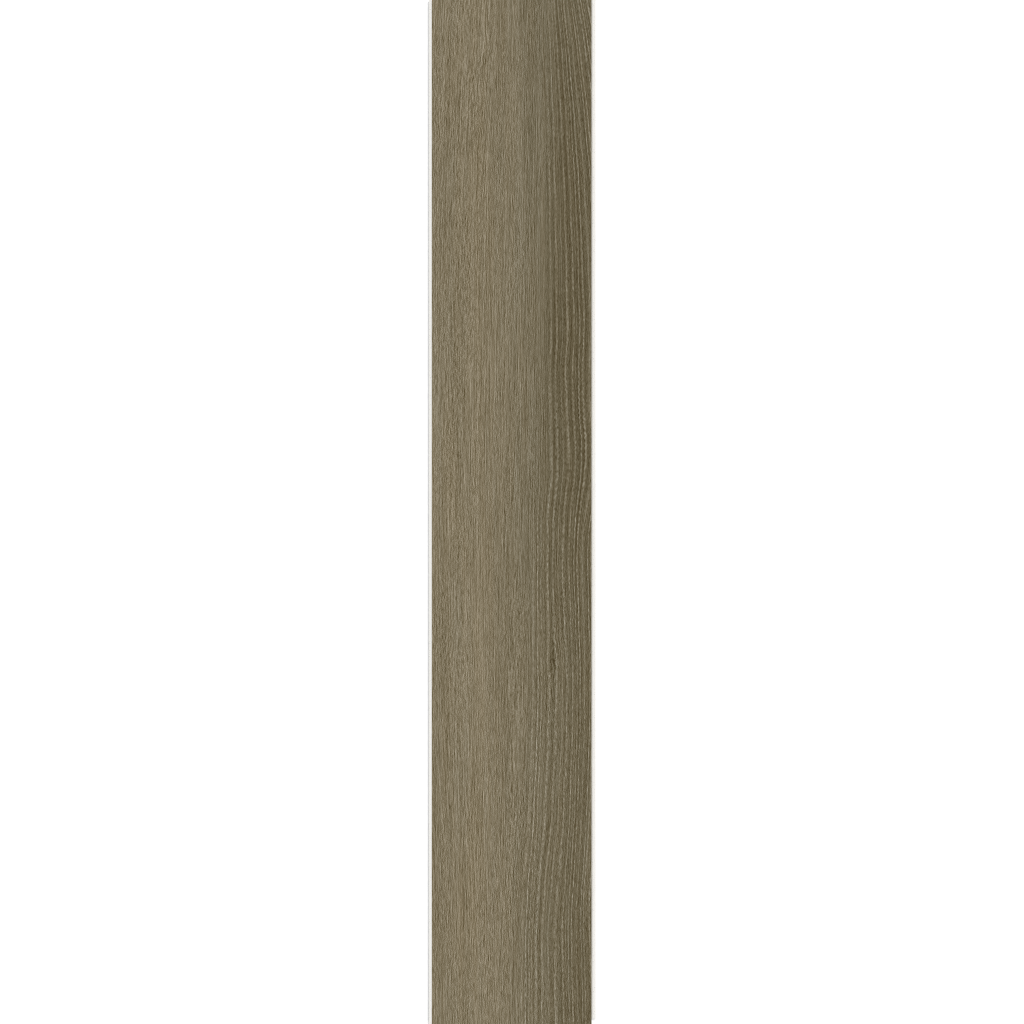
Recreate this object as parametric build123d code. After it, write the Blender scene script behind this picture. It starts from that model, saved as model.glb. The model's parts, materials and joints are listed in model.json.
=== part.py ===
from build123d import *
import os
from math import radians, tan

# Hybrid floor plank: one board, pressed as a sheet and then milled on all four edges.
# The long edges carry an angle-in lock: a tongue on the left, a groove over a long lower lip on the right.
# The ends carry a drop lock: a lip with a standing hook at the top end, a hanging hook at the bottom end.
# Each profile is milled right along its edge, so the board is the overlap of two profiles that cross.
#
# Millimetres, +Z up, face up. X runs across the board and Y along it. The origin is under the middle of the face.
# A lock is drawn in its joint's own frame: two boards meet at 0, the board with the lip is on the - side,
# and the board with the tongue or the hanging hook is on the + side.

# Board
FACE_LENGTH = 1220.0
FACE_WIDTH = 190.0
THICKNESS = 6.5
BEVEL_RUN = 0.6
BEVEL_DROP = 0.4

# Room left between the two halves of a lock, all round
LOCK_PLAY = 0.08

# Angle-in lock of the long edges
UPPER_LIP = 2.1
TONGUE_REACH = 3.4
TONGUE_SEAT = 1.1
TONGUE_NOSE = 1.2
TONGUE_BELLY = 1.5
NOSE_RADIUS = 0.45
LIP_REACH = 4.8
LIP_FLOOR = 1.5
BEAD_START = 0.5
BEAD_RISE = 0.8
BEAD_ANGLE = 52.0
BEAD_RADIUS = 0.25

# Drop lock of the ends
END_LIP_REACH = 6.2
END_LIP_FLOOR = 1.7
HOOK_WIDTH = 2.6
HOOK_RISE = 1.7
HOOK_ANGLE = 80.0
HOOK_RADIUS = 0.35
SNAP_REACH = 0.3
SNAP_HEIGHT = 1.0
SNAP_BELOW_FACE = 2.6

# Eased corner under the free edge of each lower lip
LIP_EASE = 0.4


def rounded(outline, corners, radius):
    """The outline with the corners at those points rounded."""
    for corner in corners:
        nearest = outline.vertices().sort_by_distance((*corner, 0))[0]
        outline = fillet(nearest, radius)
    return outline


def closed_outline(*points):
    """The flat face inside a run of straight lines through the points."""
    return make_face(Polyline(*points, close=True))


def with_room(outline):
    """The outline grown by the play of the lock, for the half that takes it in."""
    return offset(outline, LOCK_PLAY, kind=Kind.INTERSECTION)


def tongue_outline():
    """Tongue of the long edge: a flat seat on top, a blunt nose, and a belly that rises to the nose."""
    top = THICKNESS - UPPER_LIP
    belly = LIP_FLOOR + LOCK_PLAY
    nose_middle = (top + belly) / 2
    nose_top = (-TONGUE_REACH, nose_middle + TONGUE_NOSE / 2)
    nose_foot = (-TONGUE_REACH, nose_middle - TONGUE_NOSE / 2)
    tongue = closed_outline(
        (BEAD_START, top),
        (-TONGUE_SEAT, top),
        nose_top,
        nose_foot,
        (-TONGUE_BELLY, belly),
        (BEAD_START, belly),
    )
    return rounded(tongue, [nose_top, nose_foot], NOSE_RADIUS)


def lip_outline():
    """Lower lip of the long edge: a floor under the tongue's belly, then a bead that the tongue locks behind."""
    bead_top = LIP_FLOOR + BEAD_RISE
    bead_near = (BEAD_START + BEAD_RISE / tan(radians(BEAD_ANGLE)), bead_top)
    bead_far = (LIP_REACH, bead_top)
    lip = closed_outline(
        (-TONGUE_BELLY, 0),
        (LIP_REACH, 0),
        bead_far,
        bead_near,
        (BEAD_START, LIP_FLOOR),
        (-TONGUE_BELLY, LIP_FLOOR),
    )
    return rounded(lip, [bead_near, bead_far], BEAD_RADIUS)


def end_lip_outline():
    """Lower lip of the end: a channel floor, then a hook that stands up at the lip's free edge."""
    hook_top = END_LIP_FLOOR + HOOK_RISE
    hook_near = (END_LIP_REACH - HOOK_WIDTH, hook_top)
    hook_far = (END_LIP_REACH, hook_top)
    channel_end = END_LIP_REACH - HOOK_WIDTH - HOOK_RISE / tan(radians(HOOK_ANGLE))
    lip = closed_outline(
        (0, 0),
        (END_LIP_REACH, 0),
        hook_far,
        hook_near,
        (channel_end, END_LIP_FLOOR),
        (0, END_LIP_FLOOR),
    )
    return rounded(lip, [hook_near, hook_far], HOOK_RADIUS)


def snap_outline():
    """Snap rib of the end: a low ridge along the joint face, which clicks into the next board's groove."""
    middle = THICKNESS - SNAP_BELOW_FACE
    return closed_outline(
        (0, middle - SNAP_HEIGHT / 2),
        (0, middle + SNAP_HEIGHT / 2),
        (-SNAP_REACH, middle),
    )


def board_outline(span):
    """Plain board section across a span: square below, with the face's two edges bevelled."""
    half = span / 2
    return closed_outline(
        (-half, 0),
        (half, 0),
        (half, THICKNESS - BEVEL_DROP),
        (half - BEVEL_RUN, THICKNESS),
        (-half + BEVEL_RUN, THICKNESS),
        (-half, THICKNESS - BEVEL_DROP),
    )


def eased_lip(lip, reach):
    """The lip with the corner under its free edge cut off at 45 degrees."""
    foot = lip.vertices().sort_by_distance((reach, 0, 0))[0]
    return chamfer(foot, LIP_EASE)


def locked_section(span, ridge, lip, lip_reach):
    """Board section with one lock: the ridge over a recess on the - edge, its groove over the lip on the +."""
    near = Pos(-span / 2, 0)
    far = Pos(span / 2, 0)
    section = board_outline(span) + near * ridge
    section -= near * with_room(lip)
    section -= far * with_room(ridge)
    return section + far * eased_lip(lip, lip_reach)


def corner_notch(x, y, toward):
    """Corner cut through the whole board, from that point outwards."""
    return Pos(x, y, 0) * Box(FACE_WIDTH, FACE_LENGTH, THICKNESS, align=(*toward, Align.MIN))


def plank():
    """The board: both profiles milled right along, then the two corners where one lip would cut the other."""
    across_reach = FACE_WIDTH / 2 + LIP_REACH
    along_reach = FACE_LENGTH / 2 + END_LIP_REACH
    across = locked_section(FACE_WIDTH, tongue_outline(), lip_outline(), LIP_REACH)
    along = locked_section(FACE_LENGTH, snap_outline(), end_lip_outline(), END_LIP_REACH)
    board = extrude(Plane.XZ * across, along_reach, both=True)
    board &= extrude(Plane.YZ * along, across_reach, both=True)

    end_lip_start = LIP_REACH + LOCK_PLAY - FACE_WIDTH / 2
    board -= corner_notch(end_lip_start, FACE_LENGTH / 2, (Align.MAX, Align.MIN))
    long_lip_start = END_LIP_REACH + LOCK_PLAY - FACE_LENGTH / 2
    return board - corner_notch(FACE_WIDTH / 2, long_lip_start, (Align.MIN, Align.MAX))


os.makedirs("parts", exist_ok=True)
export_step(plank(), "parts/plank.step")
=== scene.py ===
import json
from math import e, pi, radians

import bmesh
import bpy
import numpy as np
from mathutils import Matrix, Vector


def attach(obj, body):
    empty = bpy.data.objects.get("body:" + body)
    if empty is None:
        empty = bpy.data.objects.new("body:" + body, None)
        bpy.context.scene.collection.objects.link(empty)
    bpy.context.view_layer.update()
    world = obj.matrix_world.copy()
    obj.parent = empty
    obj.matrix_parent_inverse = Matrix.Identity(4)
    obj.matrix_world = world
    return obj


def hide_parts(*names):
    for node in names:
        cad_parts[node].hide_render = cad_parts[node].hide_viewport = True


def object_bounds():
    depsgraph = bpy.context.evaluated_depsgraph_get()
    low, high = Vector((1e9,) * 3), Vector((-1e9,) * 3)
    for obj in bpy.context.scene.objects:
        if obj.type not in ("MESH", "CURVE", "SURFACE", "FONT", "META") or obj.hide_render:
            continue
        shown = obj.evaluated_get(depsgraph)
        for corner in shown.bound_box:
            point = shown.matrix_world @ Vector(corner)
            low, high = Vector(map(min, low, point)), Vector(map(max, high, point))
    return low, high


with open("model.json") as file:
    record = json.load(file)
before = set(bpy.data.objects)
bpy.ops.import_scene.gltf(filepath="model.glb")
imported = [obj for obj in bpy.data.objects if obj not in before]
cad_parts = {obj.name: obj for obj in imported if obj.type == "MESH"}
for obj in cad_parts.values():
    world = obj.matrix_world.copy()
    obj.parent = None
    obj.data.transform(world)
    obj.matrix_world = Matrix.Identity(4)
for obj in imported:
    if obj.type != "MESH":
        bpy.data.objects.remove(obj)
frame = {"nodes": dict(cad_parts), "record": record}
cad_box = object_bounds()

# The grain of the board, which its pressed face and its print share.
# Growth rings crowd the right third. They fan out to the right at the top end and sway down to the foot,
# and the fibres follow them. Across is measured from the middle of the face, and down from its top end.
places = {mount["name"]: mount["pos_m"] for mount in frame["record"]["mounts"]}
half_width = places["long_groove"][0]
half_length = places["end_standing_hook"][1]

RING_STEP = 0.0073
UNEVEN_STEP = 0.0012
UNEVEN_EVERY = 0.0240
RING_LINE = 0.0009
FLANK = 0.0015
FLANK_AWAY = 0.0025
# The right flank is fainter: in the print the left flank carries more painted shade, as from a lamp on the
# right
RIGHT_FLANK = 0.7
FAINTEST_RING = 0.55
BOLDNESS_SHUFFLE = 0.41
RING_ROAM = 0.36
ROAM_SHUFFLE = 0.618
FAN = 0.9
FAN_START = 0.030
FAN_FADE = 0.150

# A pair gives a stretch of the board: its middle and its size, or its start and how soft that is.
# The rings' lines are wider by this much in the middle of the board
WIDER_LINE = 0.0006
WIDER_DOWN = (0.540, 0.130)
# The rings show to the right of this edge, which moves to the left by each step on the way down
ZONE_EDGE = 0.0431
ZONE_SOFTNESS = 0.010
ZONE_STEPS = (
    (0.022, 0.600, 0.120),
    (0.008, 0.900, 0.250),
)
# How far down a bend of the rings is, over what length, how far it goes to the left,
# and where it starts across
BEND_SOFTNESS = 0.030
BENDS = (
    (0.425, 0.050, 0.0034, 0.036),
    (0.495, 0.060, -0.0036, 0.036),
    (0.597, 0.075, 0.0085, 0.036),
    (0.607, 0.060, 0.0110, 0.083),
    (0.750, 0.140, -0.0085, 0.045),
    (0.780, 0.200, 0.0060, 0.083),
    (0.900, 0.120, 0.0052, 0.006),
    (1.034, 0.120, 0.0137, 0.006),
    (1.034, 0.120, -0.0036, 0.050),
    (1.034, 0.120, 0.0070, 0.080),
    (1.120, 0.090, -0.0090, 0.084),
    (1.153, 0.070, -0.0022, 0.036),
)
# The fibres left of the rings lean at the top end, again from the middle down, and along the left edge
TOP_LEAN = 0.0155
TOP_LEAN_ACROSS = (-0.029, 0.030)
TOP_LEAN_DOWN = (0.120, 0.220)
MIDDLE_LEAN = 0.0105
MIDDLE_LEAN_ACROSS = (-0.010, 0.020)
MIDDLE_LEAN_DOWN = (0.560, 0.360)
LEFT_EDGE = (-0.066, 0.040)
LEFT_EDGE_LEANS = (
    (0.012, 0.160, 0.240),
    (-0.016, 1.000, 0.400),
)
# A small knot pushes the grain aside
KNOT_ACROSS = 0.0490
KNOT_DOWN = 0.7857
KNOT_PUSH = 0.5
KNOT_PUSH_WIDE = 0.0070
KNOT_PUSH_LONG = 0.0200
# Short slanting waves in the rings a little above the middle, and a long faint sway all over
WAVE = 0.0004
WAVE_LENGTH = 0.0062
WAVE_SLANT = 30
WAVE_DOWN = (0.490, 0.060)
WAVE_ACROSS = (0.040, 0.010)
SWAY = 0.0003
SWAY_LENGTH = 0.083
SWAY_SLANT = 9


def rise(value, centre, width):
    """From 0 to 1 as a value passes the centre, over about that width. Numbers, arrays and shades do."""
    return 1 / (1 + e ** ((centre - value) * (4 / width)))


def bell(value, centre, width):
    """1 at the centre, falling to nothing within about twice that width on each side."""
    away = (value - centre) / width
    return e ** (away * away * -1)


def ripple(value):
    """A smooth wave from -1 to 1 that repeats with each whole number."""
    part = value % 1 - 0.5
    return part * (0.5 - abs(part)) * 16


def fan(down):
    """How much closer together the rings lie towards the top end, where they fan out from."""
    return FAN * e ** (down * (-1 / FAN_FADE))


def grain_place(across, down):
    """Where a point lies across the grain. One ring or fibre keeps one place all along."""
    spread = across - FAN_START
    place = across + fan(down) * (spread + abs(spread)) / 2
    for bend_down, length, shift, start in BENDS:
        place = place + shift * rise(down, bend_down, length) * rise(across, start, BEND_SOFTNESS)
    place = place - TOP_LEAN * bell(across, *TOP_LEAN_ACROSS) * (1 - rise(down, *TOP_LEAN_DOWN))
    place = place + MIDDLE_LEAN * bell(across, *MIDDLE_LEAN_ACROSS) * rise(down, *MIDDLE_LEAN_DOWN)
    left_edge = 1 - rise(across, *LEFT_EDGE)
    for shift, lean_down, length in LEFT_EDGE_LEANS:
        place = place + shift * rise(down, lean_down, length) * left_edge
    near_knot = bell(across, KNOT_ACROSS, KNOT_PUSH_WIDE) * bell(down, KNOT_DOWN, KNOT_PUSH_LONG)
    place = place - KNOT_PUSH * (across - KNOT_ACROSS) * near_knot
    wave = WAVE * ripple(down / WAVE_LENGTH + across * WAVE_SLANT)
    place = place + wave * bell(down, *WAVE_DOWN) * rise(across, *WAVE_ACROSS)
    return place + SWAY * ripple(down / SWAY_LENGTH + across * SWAY_SLANT)


def ring_zone(across, down):
    """How strongly the rings show: not in the left of the board, and further in towards its foot."""
    edge = ZONE_EDGE
    for step, step_down, length in ZONE_STEPS:
        edge = edge - step * rise(down, step_down, length)
    return rise(across, edge, ZONE_SOFTNESS)


def ring_marks(place, down, step):
    """The pale line of a ring and its dark flanks, each from 0 to 1. In the print the flanks are partly
    painted shade.
    """
    count = (place + UNEVEN_STEP * ripple(place / UNEVEN_EVERY)) / step
    ring = count // 1
    middle = 0.5 + RING_ROAM * ((ring * ROAM_SHUFFLE) % 1 - 0.5)
    boldness = FAINTEST_RING + (1 - FAINTEST_RING) * ((ring * BOLDNESS_SHUFFLE) % 1)
    away = (count % 1 - middle) * step
    line = RING_LINE * (1 + fan(down)) + WIDER_LINE * bell(down, *WIDER_DOWN)
    pale = bell(away, 0, line)
    dark = bell(away, -FLANK_AWAY, FLANK) + RIGHT_FLANK * bell(away, FLANK_AWAY, FLANK)
    return pale * boldness, dark * boldness


# The board: a sheet of stone powder and vinyl, pressed while warm against a plate with the grain on it.
# The plate sinks the dark side of each ring by a tenth of a millimetre, with brushed lines all over.
# Saws and cutters then give it its bevels and its locks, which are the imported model's own faces.
ACROSS_STEPS = 300
ALONG_STEPS = 300
RING_DEPTH = 0.00011
BRUSHED_DEPTH = 0.00003
BRUSHED_LENGTH = 0.016
BRUSHED_USUAL = 1.5
BRUSHED_DEEPEST = 4
BRUSH_SEED = 12
FLAT = radians(0.5)
# An edge runs along an axis when this share of it does, and heights this close are one height
STRAIGHT = 0.99
HAIR = 1e-6

plank_mesh = bpy.data.meshes.new("pressed_plank")
pressed = bmesh.new()
pressed.from_mesh(frame["nodes"]["plank"].data)
bmesh.ops.remove_doubles(pressed, verts=pressed.verts, dist=HAIR)
bmesh.ops.dissolve_limit(pressed, angle_limit=FLAT, verts=pressed.verts, edges=pressed.edges)

face_height = max(vert.co.z for vert in pressed.verts)
face = max(pressed.faces, key=lambda side: side.calc_center_median().z)
flat_length = 2 * max(vert.co.y for vert in face.verts)
bevels = [side for edge in face.edges for side in edge.link_faces if side is not face]
bevel_foot = min(vert.co.z for side in bevels for vert in side.verts)


def lowest(part):
    """The height of the lowest corner of an edge or a face."""
    return min(vert.co.z for vert in part.verts)


def runs_along(edge, axis):
    """Whether an edge of the face or of its bevels runs level, along that axis."""
    way = edge.verts[1].co - edge.verts[0].co
    return abs(way[axis]) > STRAIGHT * way.length and lowest(edge) > bevel_foot - HAIR


for axis, steps in ((0, ACROSS_STEPS), (1, ALONG_STEPS)):
    level_edges = [edge for edge in pressed.edges if runs_along(edge, axis)]
    bmesh.ops.subdivide_edges(pressed, edges=level_edges, cuts=steps - 1)

# A brushed line fades into the next one along the board
rng = np.random.default_rng(BRUSH_SEED)
keep = e ** (-2 * half_length / ALONG_STEPS / BRUSHED_LENGTH)
brushed = rng.standard_normal((ALONG_STEPS + 1, ACROSS_STEPS + 1))
for row in range(1, ALONG_STEPS + 1):
    brushed[row] = keep * brushed[row - 1] + (1 - keep * keep) ** 0.5 * brushed[row]

top = [vert for vert in pressed.verts if vert.co.z > face_height - HAIR]
spots = np.array([vert.co for vert in top])
columns = np.rint((spots[:, 0] / half_width + 1) / 2 * ACROSS_STEPS).astype(int)
rows = np.rint((spots[:, 1] / half_length + 1) / 2 * ALONG_STEPS).astype(int)
down = half_length - spots[:, 1]
pale, dark = ring_marks(grain_place(spots[:, 0], down), down, RING_STEP)
sunk = RING_DEPTH * ring_zone(spots[:, 0], down) * dark
sunk = sunk + BRUSHED_DEPTH * np.clip(brushed[rows, columns] + BRUSHED_USUAL, 0, BRUSHED_DEEPEST)
for vert, depth in zip(top, sunk):
    vert.co.z -= depth

for side in pressed.faces:
    side.smooth = lowest(side) > bevel_foot + HAIR
for edge in pressed.edges:
    edge.smooth = all(side.smooth for side in edge.link_faces)

UNDERSIDE, CORE, DECOR = range(3)
for side in pressed.faces:
    if max(vert.co.z for vert in side.verts) < HAIR:
        side.material_index = UNDERSIDE
    elif lowest(side) > bevel_foot - HAIR:
        side.material_index = DECOR
    else:
        side.material_index = CORE

# The map that the finishes are baked on: the two halves of the face side by side, the underside,
# then a strip for each cut
MAP_EDGE = 0.01
MAP_GAP = 0.01
HALF_FACE_WIDE = 0.40
UNDERSIDE_WIDE = 0.07
bake_map = pressed.loops.layers.uv.new("OFBake")


def map_height(share):
    """How high on the map a point lies that is that share of the way up its column."""
    return MAP_EDGE + (1 - 2 * MAP_EDGE) * share


def lay_on_map(side, left, wide):
    """Lays one flat side in a column of the map, with its longest edge upright."""
    longest = max(side.edges, key=lambda edge: edge.calc_length())
    upright = (longest.verts[1].co - longest.verts[0].co).normalized()
    level = side.normal.cross(upright)
    ways = np.array([(loop.vert.co.dot(level), loop.vert.co.dot(upright)) for loop in side.loops])
    shares = (ways - ways.min(axis=0)) / np.ptp(ways, axis=0)
    for loop, (across, up) in zip(side.loops, shares):
        loop[bake_map].uv = (left + wide * across, map_height(up))


lower_half_left = MAP_EDGE + HALF_FACE_WIDE + MAP_GAP
underside_left = lower_half_left + HALF_FACE_WIDE + MAP_GAP
strips_left = underside_left + UNDERSIDE_WIDE + MAP_GAP
cuts = [side for side in pressed.faces if side.material_index == CORE]
strip_wide = (1 - MAP_EDGE - strips_left) / len(cuts)
for count, side in enumerate(cuts):
    lay_on_map(side, strips_left + count * strip_wide, strip_wide)
for side in pressed.faces:
    if side.material_index == UNDERSIDE:
        lay_on_map(side, underside_left, UNDERSIDE_WIDE)
    elif side.material_index == DECOR:
        top_half = side.calc_center_median().y > 0
        left = MAP_EDGE if top_half else lower_half_left
        foot = 0 if top_half else -half_length
        for loop in side.loops:
            across = (loop.vert.co.x / half_width + 1) / 2
            up = (loop.vert.co.y - foot) / half_length
            loop[bake_map].uv = (left + HALF_FACE_WIDE * across, map_height(up))
pressed.to_mesh(plank_mesh)
pressed.free()

plank = bpy.data.objects.new("pressed_plank", plank_mesh)
bpy.context.scene.collection.objects.link(plank)
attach(plank, "root")
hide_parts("plank")


# The decor: a print of greyed oak under a clear matt wear layer, from the face down over the bevels.
# Most of it is fine straight fibre. The rings on the right are drawn where the plate presses them in.
# Its nodes, like those of the other finishes, are written as sums of shades, which add the Math nodes.
class Shade:
    """One output of a node: a number, colour or place that changes over a surface."""

    # The noise's own cells are turned, so that no row of them shows
    CELL_TURN = (0.62, 0.41, 0.27)

    def __init__(self, tree, socket):
        self.tree = tree
        self.socket = socket

    def node(self, kind, settings, sockets, output=0):
        """Adds a node of that type: its settings first, then the values or links of its sockets."""
        made = self.tree.nodes.new("ShaderNode" + kind)
        for name, value in settings.items():
            if name == "stops":
                elements = made.color_ramp.elements
                while len(elements) < len(value):
                    elements.new(1)
                for element, (position, colour) in zip(elements, value):
                    element.position = position
                    element.color = colour
            else:
                setattr(made, name, value)
        for name, value in sockets.items():
            if isinstance(value, Shade):
                self.tree.links.new(value.socket, made.inputs[name])
            else:
                made.inputs[name].default_value = value
        return Shade(self.tree, made.outputs[output])

    def maths(self, operation, first, second=0.0):
        """Adds a Math node on one or two values."""
        return self.node("Math", {"operation": operation}, {0: first, 1: second})

    def __add__(self, other):
        return self.maths("ADD", self, other)

    def __radd__(self, other):
        return self.maths("ADD", other, self)

    def __sub__(self, other):
        return self.maths("SUBTRACT", self, other)

    def __rsub__(self, other):
        return self.maths("SUBTRACT", other, self)

    def __mul__(self, other):
        return self.maths("MULTIPLY", self, other)

    def __rmul__(self, other):
        return self.maths("MULTIPLY", other, self)

    def __truediv__(self, other):
        return self.maths("DIVIDE", self, other)

    def __rtruediv__(self, other):
        return self.maths("DIVIDE", other, self)

    def __rpow__(self, other):
        return self.maths("POWER", other, self)

    def __mod__(self, other):
        return self.maths("FLOORED_MODULO", self, other)

    def __floordiv__(self, other):
        return self.maths("FLOOR", self / other)

    def __abs__(self):
        return self.maths("ABSOLUTE", self)

    def axis(self, letter):
        """One part of a place: X across the board, Y along it and Z up."""
        return self.node("SeparateXYZ", {}, {"Vector": self}, letter)

    def noise(self, scale, detail=0.0):
        """Noise at this place, from -1 to 1, with that many cells to the unit."""
        return self.node("TexNoise", {}, {"Vector": self, "Scale": scale, "Detail": detail}) * 2 - 1

    def streaks(self, across, along, width, length, seed, detail=0.0):
        """Streaks of about that size, from -1 to 1."""
        cell = self.node("CombineXYZ", {}, {"X": across / width, "Y": along / length})
        turn = {"Vector": cell, "Rotation": self.CELL_TURN, "Location": (seed, 0, 0)}
        return self.node("Mapping", {"vector_type": "POINT"}, turn).noise(1.0, detail)

    def coloured(self, stops):
        """The colours of the stops, picked by this number from 0 to 1."""
        return self.node("ValToRGB", {"stops": stops}, {"Fac": self}, "Color")

    def tinted(self, factor, cast):
        """This colour multiplied by a cast, by that factor. A Mix node's sockets go by number."""
        settings = {"data_type": "RGBA", "blend_type": "MULTIPLY"}
        return self.node("Mix", settings, {0: factor, 6: self, 7: cast}, 2)

    def bump(self, strength, distance):
        """The slopes of a surface with these heights."""
        sockets = {"Strength": strength, "Distance": distance, "Height": self}
        return self.node("Bump", {}, sockets, "Normal")

    def feeds(self, shader, name):
        """Links this to a socket of the shader."""
        self.tree.links.new(self.socket, shader.inputs[name])


def finish_named(name):
    """A new material, its shader, and the place of a point in Object coordinates."""
    material = bpy.data.materials.new(name)
    material.use_nodes = True
    tree = material.node_tree
    place = Shade(tree, None).node("TexCoord", {}, {}, "Object")
    return material, tree.nodes["Principled BSDF"], place


# Levels of tone, as in the finished picture, from 0 to 255, and how far an ink is from a grey of its level.
# It is redder and less blue, but the blue comes back a little at both ends
DARKEST = 60
PALEST = 160
INK_STEP = 20
INK_CAST = (11, -0.7, -24.5)
BLUE_BACK = 3
BLUE_LEAST = 115
BLUE_REACH = 50
# What the wear layer's sheen adds to a colour, and how strongly the studio lights the face
SHEEN = 0.0228
STUDIO = 1.20
DECOR_GLOSS = 0.2
DECOR_ROUGHNESS = 0.60
FIBRE_ROUGHNESS = 0.002
PORE_ROUGHNESS = 0.10
DECOR_BUMP = 0.5
DECOR_BUMP_DEPTH = 0.000004

# Streaks of the print: their width, their length and their seed
FIBRE_WIDTH = 0.0010
SPECKS = (FIBRE_WIDTH, 0.0016, 21.5)
SHORT_FIBRES = (FIBRE_WIDTH, 0.0065, 35.5)
MIDDLE_FIBRES = (FIBRE_WIDTH, 0.0180, 47.5)
THREADS = (FIBRE_WIDTH, 0.0600, 59.5)
PORES = (0.00035, 0.0070, 103.5)
CURLY_PLACES = (0.025, 0.060, 3.5)
CURLS = (0.0030, 0.0055, 11.5)
STRAIGHT_PLACES = (0.014, 0.110, 15.5)
WOBBLES = (0.0040, 0.0040, 67.5)
BEADS = (0.0030, 0.0034, 61.5)
BREAKS = (0.0040, 0.0300, 73.5)
BANDS = (0.0090, 0.4500, 83.5)
COOL_BANDS = (0.0060, 0.1500, 97.5)

# Fibres: their levels, and the share they gain or lose in straight places, midway and at the rings.
# A pale fibre has a strip of painted shade along its left edge, as from a lamp on its right
SPECK_LEVELS = 17.5
SHORT_LEVELS = 17
MIDDLE_LEVELS = 20
THREAD_LEVELS = 16
MIDWAY = (0.580, 0.200)
FINE_LESS_IF_STRAIGHT = 0.6
FINE_LESS_AT_RINGS = 0.28
MIDDLE_LESS_MIDWAY = 0.6
THREADS_MORE_IF_STRAIGHT = 1.2
THREADS_MORE_MIDWAY = 0.5
LONG_LESS_AT_RINGS = 0.5
# The painted shade beside each fibre: how far it lies to the side, and how dark it is
FIBRE_SHADE_SHIFT = 0.0012
FIBRE_SHADE_SHARE = 0.3
CURL_SWING = 0.0010
CURLY_SHARE = 0.35
CURLY_CUT = (0.25, 0.30)
PORE_LEVELS = 16
PORE_CUT = (0.28, 0.24)
PORE_COVER = 0.16

# Rings: their levels in the lower half of the board and in its upper half, and thin ones between them
LOWER_HALF = (0.630, 0.130)
RING_WOBBLE = (0.0006, 0.00018)
RING_PALE = (23, 27)
RING_BEADS = (30, 22)
RING_BREAKS = (18, 20)
# The dark flanks take away this much: darker print in the grooves, and painted shade
RING_DARK_AND_SHADE = (13, 11)
THIN_STEP = 0.0047
THIN_SHIFT = 0.0020
THIN_PALE = 6
THIN_BEADS = 20
THIN_BREAKS = -12
THIN_DARK_AND_SHADE = 3
RINGS_ELSEWHERE = 0.08
LEFT_RINGS = 0.35
LEFT_RINGS_AT = (-0.040, 0.007)
LEFT_RINGS_END = (0.650, 0.150)

# Tone: the left of the board, how much darker its right is, and how much darker the rings' ground is
LEFT_TONE = 122.5
RIGHT_SHADE = 12
RIGHT_START = (0.014, 0.050)
RING_SHADE = (1, 11)
RING_SHADE_START = 0.0405
RING_SHADE_FAN = 0.0117
RING_SHADE_SOFTNESS = 0.014
FAR_SHADE = (4, 0)
FAR_START = (0.066, 0.012)
BAND_LEVELS = 8
FOOT_START = (0.680, 0.200)
FOOT_BANDS = (
    (-0.040, 0.026, 3),
    (-0.085, 0.016, -2),
)
KNOT_LEVELS = 24
KNOT_WIDE = 0.0017
KNOT_LONG = 0.0019
# Spots of the print: how far across and how wide, how far down and how long, and how much they add.
# These are paler and darker, in levels
PATCHES = (
    (-0.094, 0.006, 0.480, 0.130, 9),
    (-0.030, 0.004, 0.500, 0.180, 5),
    (-0.030, 0.004, 0.030, 0.060, 6),
    (-0.049, 0.005, 0.780, 0.150, 5),
    (0.022, 0.010, 0.620, 0.060, -5),
    (0.024, 0.016, 0.930, 0.110, 7),
    (0.058, 0.012, 0.840, 0.080, 5),
    (0.052, 0.012, 0.410, 0.070, -6),
    (0.078, 0.018, 0.540, 0.150, -5),
    (0.091, 0.007, 1.040, 0.045, 10),
)
# Spots where the grain is printed more faintly or more strongly
STRENGTHS = (
    (0.038, 0.011, 0.324, 0.115, -0.38),
    (0.058, 0.008, 0.260, 0.120, -0.16),
    (0.072, 0.024, 0.790, 0.130, 0.12),
    (-0.012, 0.035, 1.120, 0.280, 0.24),
    (0.044, 0.012, 1.160, 0.130, -0.22),
)
# Spots where the fibres curl
CURLY_SPOTS = (
    (-0.088, 0.016, 0.085, 0.060, 1),
    (-0.020, 0.014, 0.790, 0.040, 0.8),
)
# A greyer cast, stronger on the right, with warmer streaks and spots on the left
COOL_CAST = (0.945, 1.012, 1.115, 1)
COOL_LEFT = 0.36
COOL_RIGHT = 0.50
COOL_START = (0.008, 0.045)
COOL_BAND_SHARE = 0.3
WARM_BAND_SHARE = 0.18
WARM_BAND = (-0.038, 0.016)
WARM_SPOTS = ((-0.054, 0.016, 1.080, 0.080, -0.25),)


def printed(level):
    """The ink that looks right for its level in the picture, in the studio's light and under the sheen."""
    red, green, blue = INK_CAST
    blue = blue + BLUE_BACK * ((level - BLUE_LEAST) / BLUE_REACH) ** 2
    parts = (level + np.array([red, green, blue])) / 255
    # The parts go from the picture's sRGB to linear light
    seen = np.where(parts <= 0.04045, parts / 12.92, ((parts + 0.055) / 1.055) ** 2.4)
    return (*((seen - SHEEN) / STUDIO).tolist(), 1.0)


decor, shader, place = finish_named("oak_decor")
across = place.axis("X")
along = place.axis("Y")
down = half_length - along
zone = ring_zone(across, down)
upper = 1 - rise(down, *LOWER_HALF)
midway = bell(down, *MIDWAY)
grain_at = grain_place(across, down)


def with_spots(value, spots):
    """The value with each spot of a table added, fading out from its middle."""
    for spot_across, wide, spot_down, long, amount in spots:
        value = value + amount * bell(across, spot_across, wide) * bell(down, spot_down, long)
    return value


def in_halves(low, high):
    """A number that has one value in the lower half of the board and another in its upper half."""
    return low + (high - low) * upper


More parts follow.
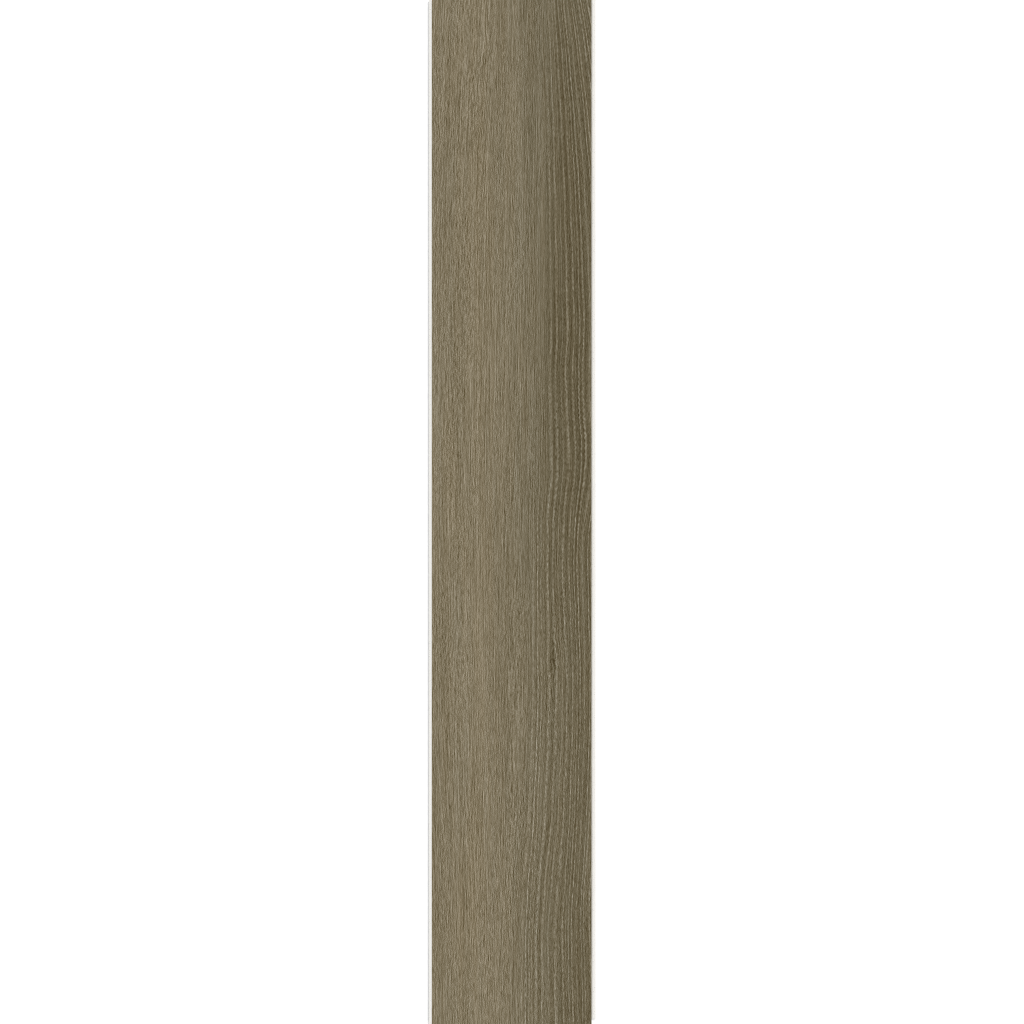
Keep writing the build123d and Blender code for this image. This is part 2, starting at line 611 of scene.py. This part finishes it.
curly_places = rise(place.streaks(across, along, *CURLY_PLACES), *CURLY_CUT)
curl = with_spots(CURLY_SHARE * curly_places, CURLY_SPOTS)
fibre_at = grain_at + CURL_SWING * curl * place.streaks(across, along, *CURLS)
straight = place.streaks(grain_at, along, *STRAIGHT_PLACES)


def fibres(at):
    """Pale and dark fibres, from specks to long threads, at that place across the grain."""
    specks = SPECK_LEVELS * place.streaks(at, along, *SPECKS)
    short = SHORT_LEVELS * place.streaks(at, along, *SHORT_FIBRES)
    middle = MIDDLE_LEVELS * place.streaks(at, along, *MIDDLE_FIBRES)
    threads = THREAD_LEVELS * place.streaks(at, along, *THREADS)
    fine = (specks + short) * (1 - FINE_LESS_IF_STRAIGHT * straight)
    fine = fine * (1 - zone * FINE_LESS_AT_RINGS * (upper + midway))
    middle = middle * (1 - MIDDLE_LESS_MIDWAY * midway)
    threads = threads * (1 + THREADS_MORE_IF_STRAIGHT * straight + THREADS_MORE_MIDWAY * midway)
    return fine + (middle + threads) * (1 - LONG_LESS_AT_RINGS * zone)


# Painted shade: the same fibres, a little to the right, are taken away, which darkens the left edge of each
# pale one
fibre = fibres(fibre_at) - FIBRE_SHADE_SHARE * fibres(fibre_at + FIBRE_SHADE_SHIFT)
pores = rise(place.streaks(fibre_at, along, *PORES), *PORE_CUT)

ring_at = grain_at + in_halves(*RING_WOBBLE) * place.streaks(grain_at, along, *WOBBLES)
bead = place.streaks(grain_at, along, *BEADS)
breaks = place.streaks(grain_at, along, *BREAKS)
pale, dark = ring_marks(ring_at, down, RING_STEP)
rings = pale * (in_halves(*RING_PALE) + in_halves(*RING_BEADS) * bead + in_halves(*RING_BREAKS) * breaks)
# The dark flanks: darker print in the pressed grooves, and painted shade that is heavier on each ring's
# left
rings = rings - in_halves(*RING_DARK_AND_SHADE) * dark
pale, dark = ring_marks(ring_at + THIN_SHIFT, down, THIN_STEP)
thin_rings = pale * (THIN_PALE + THIN_BEADS * bead + THIN_BREAKS * breaks) - THIN_DARK_AND_SHADE * dark
left_rings = LEFT_RINGS * bell(grain_at, *LEFT_RINGS_AT) * (1 - rise(down, *LEFT_RINGS_END))
rings = (rings + thin_rings) * (RINGS_ELSEWHERE + (1 - RINGS_ELSEWHERE) * zone + left_rings)

tone = LEFT_TONE - RIGHT_SHADE * rise(across, *RIGHT_START)
ring_ground = rise(across, RING_SHADE_START + RING_SHADE_FAN * fan(down), RING_SHADE_SOFTNESS)
tone = tone - in_halves(*RING_SHADE) * ring_ground
tone = tone - in_halves(*FAR_SHADE) * rise(grain_at, *FAR_START)
tone = with_spots(tone, PATCHES)
for band_across, wide, levels in FOOT_BANDS:
    tone = tone + levels * bell(across, band_across, wide) * rise(down, *FOOT_START)
tone = tone + BAND_LEVELS * place.streaks(grain_at, along, *BANDS)
grain = fibre + rings - PORE_LEVELS * (pores - PORE_COVER)
knot = bell(across, KNOT_ACROSS, KNOT_WIDE) * bell(down, KNOT_DOWN, KNOT_LONG)
level = tone + with_spots(1, STRENGTHS) * grain - KNOT_LEVELS * knot

coolness = COOL_LEFT + COOL_RIGHT * rise(across, *COOL_START)
coolness = coolness - WARM_BAND_SHARE * bell(across, *WARM_BAND)
coolness = with_spots(coolness, WARM_SPOTS)
coolness = coolness + COOL_BAND_SHARE * place.streaks(grain_at, along, *COOL_BANDS)

ink_levels = range(DARKEST, PALEST + 1, INK_STEP)
stops = [((stop - DARKEST) / (PALEST - DARKEST), printed(stop)) for stop in ink_levels]
ink = ((level - DARKEST) / (PALEST - DARKEST)).coloured(stops)
ink.tinted(coolness, COOL_CAST).feeds(shader, "Base Color")
roughness = DECOR_ROUGHNESS - FIBRE_ROUGHNESS * fibre + PORE_ROUGHNESS * pores
roughness.feeds(shader, "Roughness")
relief = fibre - PORE_LEVELS * pores
relief.bump(DECOR_BUMP, DECOR_BUMP_DEPTH).feeds(shader, "Normal")
shader.inputs["Specular IOR Level"].default_value = DECOR_GLOSS

# The core: stone powder bound with vinyl, pale and dull where the cutters opened it along the locks.
# The cutters leave fine lines that run with the edge. The powder shows as pale grains and a few dark ones.
LOCK_DEPTH = 0.0040
LOCK_SOFTNESS = 0.0002
SIDE_LINES = (0.00035, 0.2500, 5.5)
END_LINES = (0.00035, 0.0800, 17.5)
POWDER = 1400.0
POWDER_DETAIL = 2.0
FLECKS = 1100.0
FLECK_CUT = (0.40, 0.12)
LINE_SHARE = 0.22
POWDER_SHARE = 0.35
FLECK_SHARE = 0.3
CORE_COLOURS = [(0, (0.60, 0.58, 0.54, 1)), (0.35, (0.74, 0.725, 0.69, 1)), (1, (0.86, 0.85, 0.82, 1))]
CORE_GLOSS = 0.3
CORE_ROUGHNESS = 0.72
POWDER_ROUGHNESS = 0.10
CORE_BUMP = 0.6
CORE_BUMP_DEPTH = 0.00003

core, shader, place = finish_named("mineral_core")
across = place.axis("X")
along = place.axis("Y")
height = place.axis("Z")
long_edge = rise(abs(across), half_width - LOCK_DEPTH, LOCK_SOFTNESS)
side_lines = place.streaks(across + height, along, *SIDE_LINES)
end_lines = place.streaks(along + height, across, *END_LINES)
lines = long_edge * side_lines + (1 - long_edge) * end_lines
powder = place.noise(POWDER, POWDER_DETAIL)
flecks = rise(place.noise(FLECKS), *FLECK_CUT)
worn = 0.5 + LINE_SHARE * lines + POWDER_SHARE * powder - FLECK_SHARE * flecks
worn.coloured(CORE_COLOURS).feeds(shader, "Base Color")
roughness = CORE_ROUGHNESS - POWDER_ROUGHNESS * powder
roughness.feeds(shader, "Roughness")
relief = lines + powder
relief.bump(CORE_BUMP, CORE_BUMP_DEPTH).feeds(shader, "Normal")
shader.inputs["Specular IOR Level"].default_value = CORE_GLOSS

# The underside: a plain balancing sheet of grey vinyl, rolled flat on to the core.
# The roller leaves it a fine matt tooth, faint bands along the board and slight clouds.
TOOTH = 900.0
TOOTH_DETAIL = 2.0
ROLLED_BANDS = (0.0060, 0.6000, 29.5)
CLOUDS = (0.0300, 0.0500, 41.5)
CLOUD_DETAIL = 2.0
TOOTH_SHARE = 0.25
ROLLED_SHARE = 0.25
CLOUD_SHARE = 0.35
BACK_COLOURS = [(0, (0.36, 0.36, 0.35, 1)), (0.5, (0.45, 0.45, 0.44, 1)), (1, (0.55, 0.55, 0.535, 1))]
BACK_GLOSS = 0.3
BACK_ROUGHNESS = 0.60
TOOTH_ROUGHNESS = 0.10
CLOUD_ROUGHNESS = 0.06
BACK_BUMP = 0.6
BACK_BUMP_DEPTH = 0.00003

underside, shader, place = finish_named("balancing_back")
across = place.axis("X")
along = place.axis("Y")
tooth = place.noise(TOOTH, TOOTH_DETAIL)
bands = place.streaks(across, along, *ROLLED_BANDS)
clouds = place.streaks(across, along, *CLOUDS, CLOUD_DETAIL)
worn = 0.5 + TOOTH_SHARE * tooth + ROLLED_SHARE * bands + CLOUD_SHARE * clouds
worn.coloured(BACK_COLOURS).feeds(shader, "Base Color")
roughness = BACK_ROUGHNESS + TOOTH_ROUGHNESS * tooth + CLOUD_ROUGHNESS * clouds
roughness.feeds(shader, "Roughness")
tooth.bump(BACK_BUMP, BACK_BUMP_DEPTH).feeds(shader, "Normal")
shader.inputs["Specular IOR Level"].default_value = BACK_GLOSS

for finish in (underside, core, decor):
    plank_mesh.materials.append(finish)

# The stage: a wide matt white floor, an even white sky and a broad soft lamp beyond the board's top right.
# It isn't part of the plank. The floor lies a hair's breadth below the underside.
FLOOR_REACH = 60.0
FLOOR_DROP = 0.00005
FLOOR_WHITE = (0.90, 0.90, 0.90, 1)
FLOOR_ROUGHNESS = 0.9
FLOOR_GLOSS = 0.1
SKY_WHITE = (1, 1, 1, 1)
SKY = 0.88
LAMP = 1.31
LAMP_SPREAD = radians(20)
LAMP_HEIGHT = radians(50)
LAMP_TURN = radians(55)

floor_mesh = bpy.data.meshes.new("floor")
floor_shape = bmesh.new()
bmesh.ops.create_grid(floor_shape, x_segments=1, y_segments=1, size=FLOOR_REACH)
bmesh.ops.translate(floor_shape, verts=floor_shape.verts, vec=(0, 0, cad_box[0].z - FLOOR_DROP))
floor_shape.to_mesh(floor_mesh)
floor_shape.free()
floor = bpy.data.objects.new("floor", floor_mesh)
bpy.context.scene.collection.objects.link(floor)
white = bpy.data.materials.new("white_floor")
white.use_nodes = True
shader = white.node_tree.nodes["Principled BSDF"]
shader.inputs["Base Color"].default_value = FLOOR_WHITE
shader.inputs["Roughness"].default_value = FLOOR_ROUGHNESS
shader.inputs["Specular IOR Level"].default_value = FLOOR_GLOSS
floor_mesh.materials.append(white)

world = bpy.data.worlds.new("sky")
bpy.context.scene.world = world
world.use_nodes = True
background = world.node_tree.nodes["Background"]
background.inputs["Color"].default_value = SKY_WHITE
background.inputs["Strength"].default_value = SKY

lamp_light = bpy.data.lights.new("soft_lamp", "SUN")
lamp_light.energy = LAMP
lamp_light.angle = LAMP_SPREAD
lamp = bpy.data.objects.new("soft_lamp", lamp_light)
lamp.rotation_euler = (0, pi / 2 - LAMP_HEIGHT, LAMP_TURN)
bpy.context.scene.collection.objects.link(lamp)

# The camera: straight above the face, so that the flat between its end bevels just fills the picture.
# A narrow pixel filter, and a denoiser that doesn't smooth its guides, keep the fine fibres crisp.
LENS = 100.0
SENSOR = 36.0
OFF_CENTRE = 0.00029
PIXEL_FILTER = 0.7

camera_lens = bpy.data.cameras.new("camera")
camera_lens.lens = LENS
camera_lens.sensor_width = SENSOR
camera = bpy.data.objects.new("camera", camera_lens)
camera.location = (OFF_CENTRE, 0, face_height + flat_length * LENS / SENSOR)
bpy.context.scene.collection.objects.link(camera)
bpy.context.scene.camera = camera
bpy.context.scene.view_settings.view_transform = "Standard"
bpy.context.scene.cycles.filter_width = PIXEL_FILTER
bpy.context.scene.cycles.denoising_prefilter = "NONE"
